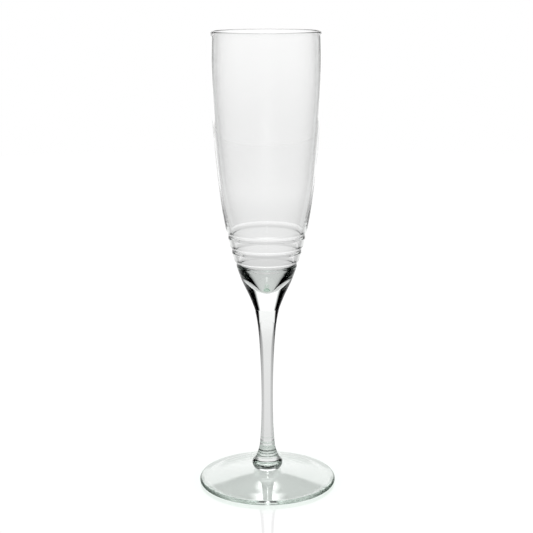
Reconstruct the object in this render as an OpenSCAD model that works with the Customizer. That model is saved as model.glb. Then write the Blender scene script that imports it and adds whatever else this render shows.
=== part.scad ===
// Champagne flute: three fused pieces of clear crystal, a blown bowl with a
// solid base and three wheel-cut rings, a drawn stem and a pressed foot.
// The origin is on the axis at table level, with +Z up.

/* [Overall] */
// Height of the glass from the table to the rim
height = 250; // [220:1:280]

/* [Bowl] */
// Radius of the bowl where it is widest, a little below the rim
belly_r = 29.65; // [27:0.05:33]
// Height of the fused joint between the stem and the bowl
bowl_z = 100; // [95:1:108]
// Thickness of the wall at the rim
rim_wall = 1.1; // [0.9:0.05:1.6]
// Thickness of solid glass under the lowest point of the hollow
base_solid = 11; // [9:0.1:14]
// Thickness of the wall behind the cut rings
ring_wall = 2.3; // [2:0.05:2.6]

/* [Cut rings] */
// Number of rings cut round the lower bowl
ring_count = 3; // [1:1:3]
// Height of the uppermost ring
ring_top_z = 140.9; // [138:0.1:143]
// Distance between neighbouring rings
ring_pitch = 8.05; // [7:0.05:9]
// Depth that the wheel cuts into the wall
ring_depth = 0.35; // [0.2:0.05:0.6]
// Radius of the wheel's rounded edge
wheel_r = 3.2; // [2:0.1:5]

/* [Stem] */
// Radius of the stem where it is thinnest
stem_r = 3.1; // [2.9:0.05:4.5]
// Radius of the button at the bottom of the stem
button_r = 8.5; // [7.5:0.1:10]
// Radius of the button's rounded lower edge
button_round = 3.8; // [3:0.1:3.8]

/* [Foot] */
// Radius of the foot
foot_r = 38.1; // [35:0.05:43]
// Thickness of the foot at its edge
foot_edge = 2.4; // [2:0.1:3.5]
// Height of the fused joint between the foot and the stem
foot_z = 6.8; // [6.6:0.1:7.2]
// Height of the hollow under the foot at its centre
foot_hollow = 4.6; // [3:0.1:4.8]
// Width of the flat ring that the foot rests on
rest_w = 3; // [2:0.1:5]

/* [Hidden] */
round_fn = 128;
curve_steps = 5;
crystal = [0.9, 0.95, 0.93, 0.45];

bowl_h = height - bowl_z;
lip_r = rim_wall / 2;
bowl_foot_r = 0.229 * belly_r;

// Control points of the bowl's outside, from the joint with the stem up to
// just below the rim, as [share of belly_r, share of bowl_h].
bowl_outside = [
    [0.229, 0], [0.290, 0.033], [0.365, 0.067], [0.451, 0.1], [0.524, 0.14],
    [0.623, 0.2], [0.705, 0.264], [0.770, 0.32], [0.820, 0.38], [0.874, 0.467],
    [0.926, 0.57], [0.975, 0.7], [1.003, 0.83], [0.995, 0.93]
];
rim_r = 0.981 * belly_r;

// The hollow's lower end is a blunt cone. Above it the wall is ring_wall thick
// up to thin_start, and thins evenly to rim_wall at thin_end.
hollow_start_z = bowl_z + base_solid;
cone_tip_r = 2.2;
cone_slope = 0.92;
cone_heights = [1.25, 3, 6, 9, 12];
wall_start = bowl_z + 26;
thin_start = bowl_z + 44;
thin_end = bowl_z + 60;
wall_heights = [wall_start, wall_start + 4, wall_start + 8, wall_start + 12, thin_start,
                (thin_start + thin_end) / 2, thin_end + 4, thin_end + 23];

// Control points of the stem's outside, from the button's widest part up to the
// joint with the bowl, as [radius, share of the stem's height].
stem_h = bowl_z - foot_z;
stem_outside = [
    [button_r, 0.042], [button_r, 0.046], [0.965 * button_r, 0.053],
    [0.88 * button_r, 0.062], [0.78 * button_r, 0.074], [0.70 * button_r, 0.088],
    [0.63 * button_r, 0.107], [0.555 * button_r, 0.126], [0.49 * button_r, 0.151],
    [1.26 * stem_r, 0.191], [1.12 * stem_r, 0.25], [1.04 * stem_r, 0.33],
    [stem_r, 0.437], [1.05 * stem_r, 0.576], [1.18 * stem_r, 0.694],
    [1.38 * stem_r, 0.813], [1.66 * stem_r, 0.916], [bowl_foot_r, 1]
];
button_face_r = button_r - button_round;

// Control points of the foot's top, from inside its edge in to the button, as
// [share of foot_r, share of the rise from the edge to the joint].
foot_edge_r = foot_edge / 2;
foot_rise = foot_z - foot_edge;
foot_top = [
    [0.89, 0.13], [0.80, 0.26], [0.72, 0.36], [0.63, 0.48], [0.47, 0.71],
    [0.32, 0.90], [0.22, 1]
];

// Control points of the foot's underside, from inside the ring it rests on in
// to the axis, as [share of foot_r, share of foot_hollow].
foot_under = [[0.79, 0.16], [0.63, 0.40], [0.45, 0.66], [0.26, 0.90], [0.10, 1], [0, 1]];

function blend(p, t) =
    ((1 - t)^3 * p[0] + (3 * t^3 - 6 * t^2 + 4) * p[1]
     + (-3 * t^3 + 3 * t^2 + 3 * t + 1) * p[2] + t^3 * p[3]) / 6;

// A smooth curve that starts at the first control point and ends at the last.
function smooth(points) =
    let (n = len(points),
         all = concat([2 * points[0] - points[1]], points,
                      [2 * points[n - 1] - points[n - 2]]))
    concat([for (i = [0 : n - 2], k = [0 : curve_steps - 1])
                blend([all[i], all[i + 1], all[i + 2], all[i + 3]], k / curve_steps)],
           [points[n - 1]]);

function reversed(list) = [for (i = [len(list) - 1 : -1 : 0]) list[i]];

function arc(centre, radius, from, to) =
    [for (k = [0 : curve_steps])
        let (a = from + (to - from) * k / curve_steps)
        centre + radius * [cos(a), sin(a)]];

function bowl_point(p) = [p[0] * belly_r, bowl_z + p[1] * bowl_h];

outside = smooth(concat([for (p = bowl_outside) bowl_point(p)], [[rim_r, height - lip_r]]));

function outside_r(z) = lookup(z, [for (p = outside) [p[1], p[0]]]);

function wall_at(z) = lookup(z, [[thin_start, ring_wall], [thin_end, rim_wall]]);

// The hollow starts on the axis and ends one wall thickness inside the rim.
hollow = smooth(concat(
    [[0, hollow_start_z]],
    [for (h = cone_heights) [cone_tip_r + cone_slope * h, hollow_start_z + h]],
    [for (z = wall_heights) [outside_r(z) - wall_at(z), z]],
    [for (p = [[0.975, 0.69], [1.003, 0.82], [0.995, 0.92]])
        [p[0] * belly_r - rim_wall, bowl_z + p[1] * bowl_h]],
    [[rim_r - rim_wall, height - lip_r]]));

module lathe(points) {
    rotate_extrude($fn = round_fn) polygon(points);
}

module bowl() {
    rim = outside[len(outside) - 1];
    color(crystal) difference() {
        lathe(concat([[0, bowl_z]], outside,
                     arc([rim[0] - lip_r, rim[1]], lip_r, 0, 180),
                     reversed(hollow)));
        for (i = [0 : ring_count - 1]) {
            z = ring_top_z - i * ring_pitch;
            rotate_extrude($fn = round_fn)
                translate([outside_r(z) + wheel_r - ring_depth, z])
                    circle(wheel_r, $fn = 32);
        }
    }
}

module stem() {
    line = smooth([for (p = stem_outside) [p[0], foot_z + p[1] * stem_h]]);
    color(crystal)
        lathe(concat([[0, foot_z]],
                     arc([button_face_r, foot_z + button_round], button_round, -90, 0),
                     line, [[0, bowl_z]]));
}

module foot() {
    rest_out = foot_r - foot_edge_r;
    rest_in = rest_out - rest_w;
    top = smooth(concat([[rest_out, foot_edge]],
                        [for (p = foot_top) [p[0] * foot_r, foot_edge + p[1] * foot_rise]]));
    under = smooth(concat([[rest_in, 0]],
                          [for (p = foot_under) [p[0] * foot_r, p[1] * foot_hollow]]));
    color(crystal)
        lathe(concat(reversed(under),
                     arc([rest_out, foot_edge_r], foot_edge_r, -90, 90),
                     top, [[0, foot_z]]));
}

bowl();
stem();
foot();
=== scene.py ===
"""A clear crystal champagne flute on a white studio floor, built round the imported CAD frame.

Each CAD node is replaced by a finely lathed glass piece that follows the same outline.
"""
import math

import bmesh
import bpy
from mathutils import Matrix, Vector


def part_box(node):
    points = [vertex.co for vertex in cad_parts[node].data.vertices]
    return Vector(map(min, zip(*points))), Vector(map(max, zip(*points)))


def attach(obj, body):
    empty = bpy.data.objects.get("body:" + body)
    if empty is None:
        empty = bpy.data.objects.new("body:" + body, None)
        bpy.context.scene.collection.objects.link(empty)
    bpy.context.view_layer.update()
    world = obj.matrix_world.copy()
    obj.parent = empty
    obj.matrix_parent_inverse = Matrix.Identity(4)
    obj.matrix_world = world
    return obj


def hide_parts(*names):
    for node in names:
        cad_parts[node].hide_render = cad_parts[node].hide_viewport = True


MM = 0.001

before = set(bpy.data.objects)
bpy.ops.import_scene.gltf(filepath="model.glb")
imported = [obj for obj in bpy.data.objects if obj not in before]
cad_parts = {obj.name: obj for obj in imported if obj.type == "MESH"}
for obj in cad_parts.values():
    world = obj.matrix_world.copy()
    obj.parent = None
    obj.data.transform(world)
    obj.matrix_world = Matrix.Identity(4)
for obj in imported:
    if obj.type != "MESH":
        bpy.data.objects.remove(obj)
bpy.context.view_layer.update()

# ---------------------------------------------------------------- driving sizes

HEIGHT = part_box("bowl")[1].z
JOINT_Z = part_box("bowl")[0].z
BUTTON_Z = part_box("stem")[0].z
FOOT_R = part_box("foot")[1].x
BELLY_R = 29.65 * MM
RIM_WALL = 1.1 * MM
RIM_R = 0.981 * BELLY_R
BASE_SOLID = 11.0 * MM
RING_WALL = 2.3 * MM      # the wall behind the cut rings
CONE_TIP_R = 2.2 * MM     # the blunt cone at the hollow's lower end
CONE_SLOPE = 0.92
CONE_HEIGHTS = (1.25 * MM, 3 * MM, 6 * MM, 9 * MM, 12 * MM)
WALL_START = JOINT_Z + 26 * MM
THIN_START = JOINT_Z + 44 * MM   # where the wall starts to thin
THIN_END = JOINT_Z + 60 * MM     # and where it is as thin as at the rim
WALL_HEIGHTS = (
    WALL_START, WALL_START + 4 * MM, WALL_START + 8 * MM, WALL_START + 12 * MM, THIN_START,
    (THIN_START + THIN_END) / 2, THIN_END + 4 * MM, THIN_END + 23 * MM,
)
RING_COUNT = 3
RING_TOP_Z = 140.9 * MM
RING_PITCH = 8.05 * MM
RING_DEPTH = 0.35 * MM
WHEEL_R = 3.2 * MM
STEM_R = 3.1 * MM
BUTTON_R = 8.5 * MM
BUTTON_ROUND = 3.8 * MM   # radius of the button's lower edge
BUTTON_FACE_R = BUTTON_R - BUTTON_ROUND
BOWL_FOOT_R = 0.229 * BELLY_R   # radius of the joint between the stem and the bowl
FOOT_EDGE = 2.4 * MM
FOOT_HOLLOW = 4.6 * MM
REST_W = 3.0 * MM

SEGMENTS = 192            # round each piece
STEP = 0.5 * MM           # spacing of the lathe's rings along the outline
FINE_STEP = 0.2 * MM      # and along the cut rings
RING_ZONE = (118 * MM, 146 * MM)
HOLLOW_FINE_TOP = 150 * MM   # the hollow is lathed more coarsely above this
THIN_KEEP = 4             # one lathe ring in this many stays where the glass is plain
SEAM = 0.01 * MM          # half the gap between two fused faces

# Control points from the bottom up, as shares of BELLY_R and of the bowl's height.
BOWL_OUTSIDE = [
    (0.229, 0), (0.290, 0.033), (0.365, 0.067), (0.451, 0.1), (0.524, 0.14),
    (0.623, 0.2), (0.705, 0.264), (0.770, 0.32), (0.820, 0.38), (0.874, 0.467),
    (0.926, 0.57), (0.975, 0.7), (1.003, 0.83), (0.995, 0.93),
]
HOLLOW_WALL = [(0.975, 0.69), (1.003, 0.82), (0.995, 0.92)]

# Control points of the stem, as radius and share of its height.
STEM_OUTSIDE = [
    (BUTTON_R, 0.042), (BUTTON_R, 0.046), (0.965 * BUTTON_R, 0.053),
    (0.88 * BUTTON_R, 0.062), (0.78 * BUTTON_R, 0.074), (0.70 * BUTTON_R, 0.088),
    (0.63 * BUTTON_R, 0.107), (0.555 * BUTTON_R, 0.126), (0.49 * BUTTON_R, 0.151),
    (1.26 * STEM_R, 0.191), (1.12 * STEM_R, 0.25), (1.04 * STEM_R, 0.33),
    (STEM_R, 0.437), (1.05 * STEM_R, 0.576), (1.18 * STEM_R, 0.694),
    (1.38 * STEM_R, 0.813), (1.66 * STEM_R, 0.916), (BOWL_FOOT_R, 1),
]

# Control points from the foot's edge inwards, as shares of FOOT_R and of the rise.
FOOT_TOP = [
    (0.89, 0.13), (0.80, 0.26), (0.72, 0.36), (0.63, 0.48), (0.47, 0.71),
    (0.32, 0.90), (0.22, 1),
]
FOOT_UNDER = [(0.79, 0.16), (0.63, 0.40), (0.45, 0.66), (0.26, 0.90), (0.10, 1), (0, 1)]

GLASS_IOR = 1.54
GLASS_TINT = (0.0, 0.75, 0.3, 1)   # the glass absorbs (1 - this) * TINT_DENSITY per metre
TINT_DENSITY = 1.8
WAVE_SCALE = 60.0         # bumps per metre of the glass's faint unevenness
WAVE_DEPTH = 0.04 * MM
RIPPLE_PITCH = 2.2 * MM   # tool ripples near the foot of the stem
RIPPLE_DEPTH = 0.10 * MM
RIPPLE_LOW = (12 * MM, 14 * MM)
RIPPLE_HIGH = (22 * MM, 28 * MM)

CAM_DISTANCE = 680 * MM
CAM_HEIGHT = 277.5 * MM
CAM_SIDE = -0.15 * MM
CAM_PITCH = 12.763        # degrees down
CAM_ROLL = -0.19
CAM_LENS = 86.31          # on a 36 mm wide sensor
ROOM_R = 1.4              # metres from the axis to the edge of the floor and to the dome
FLOOR_GAP = 0.05 * MM     # below the foot
BOUNCES = 32
BLACK_POINT = 0.008       # what the picture shows as black

# The floor's glow below is painted light and shade, not a lamp.
FLOOR_WHITE = 1.01        # the floor's brightness where it is seen directly
FLOOR_NEAR = 0.72         # its glow as the glass sees it, under the foot
FLOOR_BACK = 1.0          # and far behind it, on +Y
FLOOR_DARK = 0.008        # and to the sides and in front, where flags shade it
NEAR_EDGE = (0.07, 0.16)  # metres from the axis over which the glow under the foot ends
BACK_RISE = (0.30, 0.90)  # metres from the axis over which the far glow grows
BACK_EDGE = (0.12, 0.60)  # metres to each side over which the far glow ends
BACK_SPREAD = 0.25        # metres that BACK_EDGE moves out for each metre behind the glass
MIRROR_EDGE = (0.05, 0.30)  # metres behind the axis over which mirrored light starts to see it
GREEN_CAST = (0.93, 0.955)  # red and blue left in the light that the foot casts on the floor
CAST_EDGE = (0.036, 0.052)  # metres from the axis over which this cast ends

SHEET_WHITE = 1.20        # lit backdrop behind the glass
SHEET_LOW = 1.03          # and its foot
SHEET_LOW_TOP = 12        # degrees up where it has its full brightness
SHEET_TURN = 1.0          # degrees that it stands off the middle
SHEET_EDGE = (22, 33)     # degrees to each side over which it ends
SHEET_FLARE = 12          # degrees that it is wider at its foot
SHEET_FLARE_TOP = 10      # degrees up where the flare ends
SHEET_TOP = (28, 32)      # degrees up over which it ends
STRIP_WHITE = 4.0         # strip light over the backdrop
STRIP_EDGE = (3.5, 6.5)   # degrees to each side over which it ends
STRIP_LOW = (39, 42)      # degrees up over which it starts
STRIP_HIGH = (55, 60)     # and ends
FLAG_BLACK = 0.006        # flags at both sides of the backdrop
ROOM_GREY = 0.012         # the room in front of the glass
ROOM_EDGE = (110, 130)    # degrees to each side over which it takes over from the flags


# ---------------------------------------------------------------- outlines

def blend(p, t):
    """A point of a cubic B-spline's span with control points p."""
    w = ((1 - t) ** 3, 3 * t ** 3 - 6 * t ** 2 + 4, -3 * t ** 3 + 3 * t ** 2 + 3 * t + 1, t ** 3)
    return tuple(sum(w[k] * p[k][c] for k in range(4)) / 6 for c in (0, 1))


def smooth(points, per_span=24):
    """The same curve as the CAD outline's, sampled finely."""
    first = tuple(2 * a - b for a, b in zip(points[0], points[1]))
    last = tuple(2 * a - b for a, b in zip(points[-1], points[-2]))
    p = [first, *points, last]
    spans = [blend(p[i:i + 4], k / per_span) for i in range(len(points) - 1) for k in range(per_span)]
    return [*spans, points[-1]]


def arc(centre, radius, start, end, count=16):
    turn = [math.radians(start + (end - start) * k / count) for k in range(count + 1)]
    return [(centre[0] + radius * math.cos(a), centre[1] + radius * math.sin(a)) for a in turn]


def radius_at(line, z):
    """The outline's radius at height z; line rises."""
    for (r0, z0), (r1, z1) in zip(line, line[1:]):
        if z0 <= z <= z1:
            return r0 + (r1 - r0) * (z - z0) / (z1 - z0)
    return line[-1][0]


def evenly(line, step):
    """The same line with a point about every step, keeping its ends."""
    length = [0.0]
    for a, b in zip(line, line[1:]):
        length.append(length[-1] + math.dist(a, b))
    count = max(1, round(length[-1] / step))
    out, i = [], 0
    for k in range(count + 1):
        s = length[-1] * k / count
        while i < len(line) - 2 and length[i + 1] < s:
            i += 1
        t = (s - length[i]) / (length[i + 1] - length[i]) if length[i + 1] > length[i] else 0
        out.append(tuple(a + (b - a) * t for a, b in zip(line[i], line[i + 1])))
    return out


def thinned(line, low, high):
    """The line with all its points between two heights and one in THIN_KEEP elsewhere."""
    last = len(line) - 1
    return [p for i, p in enumerate(line) if low < p[1] < high or i % THIN_KEEP == 0 or i == last]


def cut_rings(line):
    """The outline with the grooves that a round-edged wheel leaves."""
    cuts = []
    for k in range(RING_COUNT):
        z = RING_TOP_Z - k * RING_PITCH
        cuts.append((radius_at(line, z) + WHEEL_R - RING_DEPTH, z))
    out = []
    for r, z in line:
        for centre_r, centre_z in cuts:
            if abs(z - centre_z) < WHEEL_R:
                r = min(r, centre_r - math.sqrt(WHEEL_R ** 2 - (z - centre_z) ** 2))
        out.append((r, z))
    return out


def wall_at(z):
    """The wall's thickness at height z."""
    share = min(max((z - THIN_START) / (THIN_END - THIN_START), 0), 1)
    return RING_WALL + (RIM_WALL - RING_WALL) * share


def bowl_point(r, z):
    """The place of a share of BELLY_R and a share of the bowl's height."""
    return (r * BELLY_R, JOINT_Z + z * (HEIGHT - JOINT_Z))


def hollow_line(outside, lip_z):
    """The inside: a blunt cone, then one wall's thickness in from the outside."""
    start = JOINT_Z + BASE_SOLID
    cone = [(CONE_TIP_R + CONE_SLOPE * h, start + h) for h in CONE_HEIGHTS]
    wall = [(radius_at(outside, z) - wall_at(z), z) for z in WALL_HEIGHTS]
    upper = [bowl_point(r, z) for r, z in HOLLOW_WALL] + [(RIM_R, lip_z)]
    return smooth([(0, start), *cone, *wall] + [(r - RIM_WALL, z) for r, z in upper])


def bowl_outline():
    lip = RIM_WALL / 2
    outside = smooth([bowl_point(r, z) for r, z in BOWL_OUTSIDE] + [(RIM_R, HEIGHT - lip)])
    hollow = hollow_line(outside, HEIGHT - lip)
    outside = thinned(cut_rings(evenly(outside, FINE_STEP)), *RING_ZONE)
    hollow = thinned(evenly(hollow, STEP), JOINT_Z, HOLLOW_FINE_TOP)
    return (outside, arc((RIM_R - lip, HEIGHT - lip), lip, 0, 180), hollow[::-1])


def stem_outline():
    high = JOINT_Z - BUTTON_Z
    line = smooth([(r, BUTTON_Z + z * high) for r, z in STEM_OUTSIDE])
    low = BUTTON_Z + BUTTON_ROUND
    return (arc((BUTTON_FACE_R, low), BUTTON_ROUND, -90, 0), evenly(line, STEP))


def foot_outline():
    edge = FOOT_EDGE / 2
    rest_out = FOOT_R - edge
    rest_in = rest_out - REST_W
    rise = BUTTON_Z - FOOT_EDGE
    top = smooth([(rest_out, FOOT_EDGE)] + [(r * FOOT_R, FOOT_EDGE + z * rise) for r, z in FOOT_TOP])
    under = smooth([(rest_in, 0)] + [(r * FOOT_R, z * FOOT_HOLLOW) for r, z in FOOT_UNDER])
    return (evenly(under, STEP)[::-1], arc((rest_out, edge), edge, -90, 90), evenly(top, STEP))


# ---------------------------------------------------------------- lathe

def lathe(name, outline, fused_discs):
    """Turns an outline that runs from the axis at the bottom to the axis at the top.

    Faces in a fused disc, given as (radius, height), let light pass straight on."""
    verts, rows = [], []
    for r, z in outline:
        count = 1 if r < 1e-7 else SEGMENTS
        rows.append(range(len(verts), len(verts) + count))
        for k in range(count):
            a = 2 * math.pi * k / SEGMENTS
            verts.append((r * math.cos(a), r * math.sin(a), z))
    faces, fused = [], []
    for low, high, p, q in zip(rows, rows[1:], outline, outline[1:]):
        level = any(max(abs(p[1] - h), abs(q[1] - h)) < 1e-6 and max(p[0], q[0]) < r + 1e-6
                    for r, h in fused_discs)
        for k in range(SEGMENTS):
            j = (k + 1) % SEGMENTS
            if len(low) == 1:
                face = (low[0], high[j], high[k])
            elif len(high) == 1:
                face = (low[k], low[j], high[0])
            else:
                face = (low[k], low[j], high[j], high[k])
            faces.append(face)
            fused.append(float(level))
    mesh = bpy.data.meshes.new(name)
    mesh.from_pydata(verts, [], faces)
    mesh.shade_smooth()
    mesh.attributes.new("fused", "FLOAT", "FACE").data.foreach_set("value", fused)
    on_seam = [any(abs(v.co.z - h) < 1e-6 for r, h in fused_discs) for v in mesh.vertices]
    for edge in mesh.edges:
        edge.use_edge_sharp = all(on_seam[v] for v in edge.vertices)
    piece = bpy.data.objects.new(name, mesh)
    bpy.context.scene.collection.objects.link(piece)
    return piece


def joined(*lines):
    """One outline from several that follow each other, without repeated points."""
    out = []
    for p in [p for line in lines for p in line]:
        if not out or math.dist(out[-1], p) > 1e-7:
            out.append(p)
    return out


def clipped(line, low, high):
    return [(r, min(max(z, low), high)) for r, z in line]


# ---------------------------------------------------------------- materials

def new_material(name):
    material = bpy.data.materials.new(name)
    material.use_nodes = True
    material.node_tree.nodes.clear()
    return material, material.node_tree


def node(tree, kind, inputs=(), **settings):
    """A new node; each of inputs is a socket to link, a value to set, or None to leave alone."""
    n = tree.nodes.new("ShaderNode" + kind)
    for key, value in settings.items():
        setattr(n, key, value)
    for socket, value in zip(n.inputs, inputs):
        if isinstance(value, bpy.types.NodeSocket):
            tree.links.new(value, socket)
        elif value is not None:
            socket.default_value = value
    return n


def calc(tree, operation, a, b=None):
    return node(tree, "Math", (a, b), operation=operation).outputs[0]


def ramp(tree, value, start, end, low, high):
    """A soft step from low at start to high at end."""
    n = node(tree, "MapRange", (value, start, end, low, high), interpolation_type="SMOOTHSTEP")
    return n.outputs[0]


def drawn_surface(tree):
    """Faint unevenness of hot-worked glass, with the ripples that a tool leaves near the stem's foot."""
    place = node(tree, "TexCoord").outputs["Object"]
    z = node(tree, "SeparateXYZ", (place,)).outputs[2]
    ripple = calc(tree, "SINE", calc(tree, "MULTIPLY", z, 2 * math.pi / RIPPLE_PITCH))
    ripple = calc(tree, "MULTIPLY", ripple, ramp(tree, z, *RIPPLE_LOW, 0.0, RIPPLE_DEPTH))
    ripple = calc(tree, "MULTIPLY", ripple, ramp(tree, z, *RIPPLE_HIGH, 1.0, 0.0))
    wave = node(tree, "TexNoise")
    tree.links.new(place, wave.inputs["Vector"])
    wave.inputs["Scale"].default_value = WAVE_SCALE
    wave.inputs["Detail"].default_value = 1
    height = calc(tree, "ADD", ripple, calc(tree, "MULTIPLY", wave.outputs["Fac"], WAVE_DEPTH))
    bump = node(tree, "Bump")
    bump.inputs["Distance"].default_value = 1.0
    tree.links.new(height, bump.inputs["Height"])
    return bump.outputs[0]


def crystal(name):
    material, tree = new_material(name)
    glass = node(tree, "BsdfPrincipled")
    glass.inputs["Base Color"].default_value = (1, 1, 1, 1)
    glass.inputs["Roughness"].default_value = 0
    glass.inputs["IOR"].default_value = GLASS_IOR
    glass.inputs["Transmission Weight"].default_value = 1
    tree.links.new(drawn_surface(tree), glass.inputs["Normal"])
    fused = node(tree, "Attribute", attribute_name="fused")
    straight = node(tree, "BsdfTransparent")
    surface = node(tree, "MixShader", (fused.outputs["Fac"], glass.outputs[0], straight.outputs[0]))
    tint = node(tree, "VolumeAbsorption", (GLASS_TINT, TINT_DENSITY))
    node(tree, "OutputMaterial", (surface.outputs[0], tint.outputs[0]))
    return material


# ---------------------------------------------------------------- pieces

def make_pieces():
    outside, rim, hollow = bowl_outline()
    bowl_low = JOINT_Z + SEAM
    outside = clipped(outside, bowl_low, HEIGHT)
    bowl = lathe("crystal_bowl", joined([(0, bowl_low)], outside, rim, hollow), [(BOWL_FOOT_R, bowl_low)])
    low, high = BUTTON_Z + SEAM, JOINT_Z - SEAM
    button, shaft = stem_outline()
    line = clipped(joined([(0, low)], button, shaft, [(0, high)]), low, high)
    stem = lathe("crystal_stem", line, [(BUTTON_FACE_R, low), (BOWL_FOOT_R, high)])
    foot_high = BUTTON_Z - SEAM
    line = joined(*foot_outline(), [(BUTTON_FACE_R, foot_high), (0, foot_high)])
    foot = lathe("crystal_foot", clipped(line, 0, foot_high), [(BUTTON_FACE_R, foot_high)])
    for piece, name in ((bowl, "bowl"), (stem, "stem"), (foot, "foot")):
        piece.data.materials.append(crystal(name + "_glass"))
        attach(piece, "root")
        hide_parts(name)


# ---------------------------------------------------------------- studio

def make_camera():
    cam = bpy.data.objects.new("camera", bpy.data.cameras.new("camera"))
    cam.data.lens = CAM_LENS
    cam.data.sensor_width = 36
    cam.data.clip_start = 0.01
    cam.data.clip_end = 30
    cam.location = (CAM_SIDE, -CAM_DISTANCE, CAM_HEIGHT)
    cam.rotation_euler = (math.radians(90 - CAM_PITCH), 0, 0)
    cam.rotation_euler.rotate_axis("Z", math.radians(CAM_ROLL))
    bpy.context.scene.collection.objects.link(cam)
    bpy.context.scene.camera = cam


def make_world():
    world = bpy.data.worlds.new("studio")
    bpy.context.scene.world = world
    world.use_nodes = True
    backdrop = world.node_tree.nodes["Background"]
    backdrop.inputs["Color"].default_value = (1, 1, 1, 1)
    backdrop.inputs["Strength"].default_value = 1.0


def floor_material():
    """Glossy acrylic with a painted glow: white where it is seen directly, and graded as the glass sees
    it into painted light under the foot and painted shade to the sides and in front.
    """
    material, tree = new_material("white_acrylic_painted_glow")
    place = node(tree, "TexCoord").outputs["Object"]
    x, y = node(tree, "SeparateXYZ", (place,)).outputs[:2]
    off = node(tree, "VectorMath", (place,), operation="LENGTH").outputs["Value"]
    # Painted light and shade as the glass sees the floor: a dimmed pool under the foot, a brighter glow
    # far behind, painted shade to the sides and in front.
    side = calc(tree, "SUBTRACT", calc(tree, "ABSOLUTE", x), calc(tree, "MULTIPLY", y, BACK_SPREAD))
    back = calc(tree, "MULTIPLY", ramp(tree, off, *BACK_RISE, FLOOR_NEAR, FLOOR_BACK),
                ramp(tree, side, *BACK_EDGE, 1.0, 0.0))
    near = ramp(tree, off, *NEAR_EDGE, FLOOR_NEAR, FLOOR_DARK)
    glow = calc(tree, "MAXIMUM", back, near)
    path = node(tree, "LightPath").outputs
    mirrored = calc(tree, "MULTIPLY", back, ramp(tree, y, *MIRROR_EDGE, 0.0, 1.0))
    glow = node(tree, "MapRange", (path["Is Transmission Ray"], 0, 1, mirrored, glow)).outputs[0]
    glow = node(tree, "MapRange", (path["Is Camera Ray"], 0, 1, glow, FLOOR_WHITE)).outputs[0]
    # A painted green cast near the axis stands for the light that the foot casts on the floor.
    cast = [ramp(tree, off, *CAST_EDGE, part, 1.0) for part in GREEN_CAST]
    tint = node(tree, "CombineColor", (cast[0], 1.0, cast[1])).outputs[0]
    # This emission is the floor's painted glow.
    white = node(tree, "Emission", (tint, glow))
    gloss = node(tree, "BsdfGlossy", ((1, 1, 1, 1), 0.0))
    fresnel = node(tree, "Fresnel", (1.5,))
    surface = node(tree, "MixShader", (fresnel.outputs[0], white.outputs[0], gloss.outputs[0]))
    node(tree, "OutputMaterial", (surface.outputs[0],))
    return material


def dome_material():
    """A lit backdrop on +Y between black flags, with a strip light over it."""
    material, tree = new_material("light_dome")
    place = node(tree, "TexCoord").outputs["Object"]
    x, y, z = node(tree, "SeparateXYZ", (place,)).outputs[:3]
    turn = calc(tree, "MULTIPLY", calc(tree, "ARCTAN2", x, y), math.degrees(1))
    rise = calc(tree, "MULTIPLY", calc(tree, "ARCSINE", calc(tree, "DIVIDE", z, ROOM_R)), math.degrees(1))
    rise = calc(tree, "ABSOLUTE", rise)
    side = calc(tree, "ABSOLUTE", turn)
    off = calc(tree, "ABSOLUTE", calc(tree, "ADD", turn, SHEET_TURN))
    off = calc(tree, "SUBTRACT", off, ramp(tree, rise, 0, SHEET_FLARE_TOP, SHEET_FLARE, 0.0))
    sheet = ramp(tree, off, *SHEET_EDGE, 1.0, 0.0)
    sheet = calc(tree, "MULTIPLY", sheet, ramp(tree, rise, 0, SHEET_LOW_TOP, SHEET_LOW, SHEET_WHITE))
    sheet = calc(tree, "MULTIPLY", sheet, ramp(tree, rise, *SHEET_TOP, 1.0, 0.0))
    strip = ramp(tree, side, *STRIP_EDGE, STRIP_WHITE, 0.0)
    strip = calc(tree, "MULTIPLY", strip, ramp(tree, rise, *STRIP_LOW, 0.0, 1.0))
    strip = calc(tree, "MULTIPLY", strip, ramp(tree, rise, *STRIP_HIGH, 1.0, 0.0))
    room = ramp(tree, side, *ROOM_EDGE, FLAG_BLACK, ROOM_GREY)
    light = calc(tree, "ADD", calc(tree, "ADD", sheet, strip), room)
    glow = node(tree, "Emission", ((1, 1, 1, 1), light))
    node(tree, "OutputMaterial", (glow.outputs[0],))
    return material


def make_floor():
    mesh = bpy.data.meshes.new("floor")
    bm = bmesh.new()
    bmesh.ops.create_circle(bm, cap_ends=True, segments=96, radius=ROOM_R)
    bm.to_mesh(mesh)
    bm.free()
    floor = bpy.data.objects.new("floor", mesh)
    floor.location.z = -FLOOR_GAP
    floor.data.materials.append(floor_material())
    bpy.context.scene.collection.objects.link(floor)


def make_dome():
    mesh = bpy.data.meshes.new("light_dome")
    bm = bmesh.new()
    bmesh.ops.create_uvsphere(bm, u_segments=96, v_segments=48, radius=ROOM_R)
    bm.to_mesh(mesh)
    bm.free()
    dome = bpy.data.objects.new("light_dome", mesh)
    dome.visible_camera = False
    dome.data.materials.append(dome_material())
    bpy.context.scene.collection.objects.link(dome)


def render_settings():
    scene = bpy.context.scene
    scene.view_settings.view_transform = "Standard"
    scene.view_settings.use_curve_mapping = True
    scene.view_settings.curve_mapping.black_level = (BLACK_POINT,) * 3
    scene.cycles.max_bounces = BOUNCES
    scene.cycles.transmission_bounces = BOUNCES
    scene.cycles.glossy_bounces = BOUNCES
    scene.cycles.transparent_max_bounces = BOUNCES
    scene.cycles.caustics_reflective = True
    scene.cycles.caustics_refractive = True
    scene.cycles.blur_glossy = 0


make_camera()
make_pieces()
make_world()
make_floor()
make_dome()
render_settings()
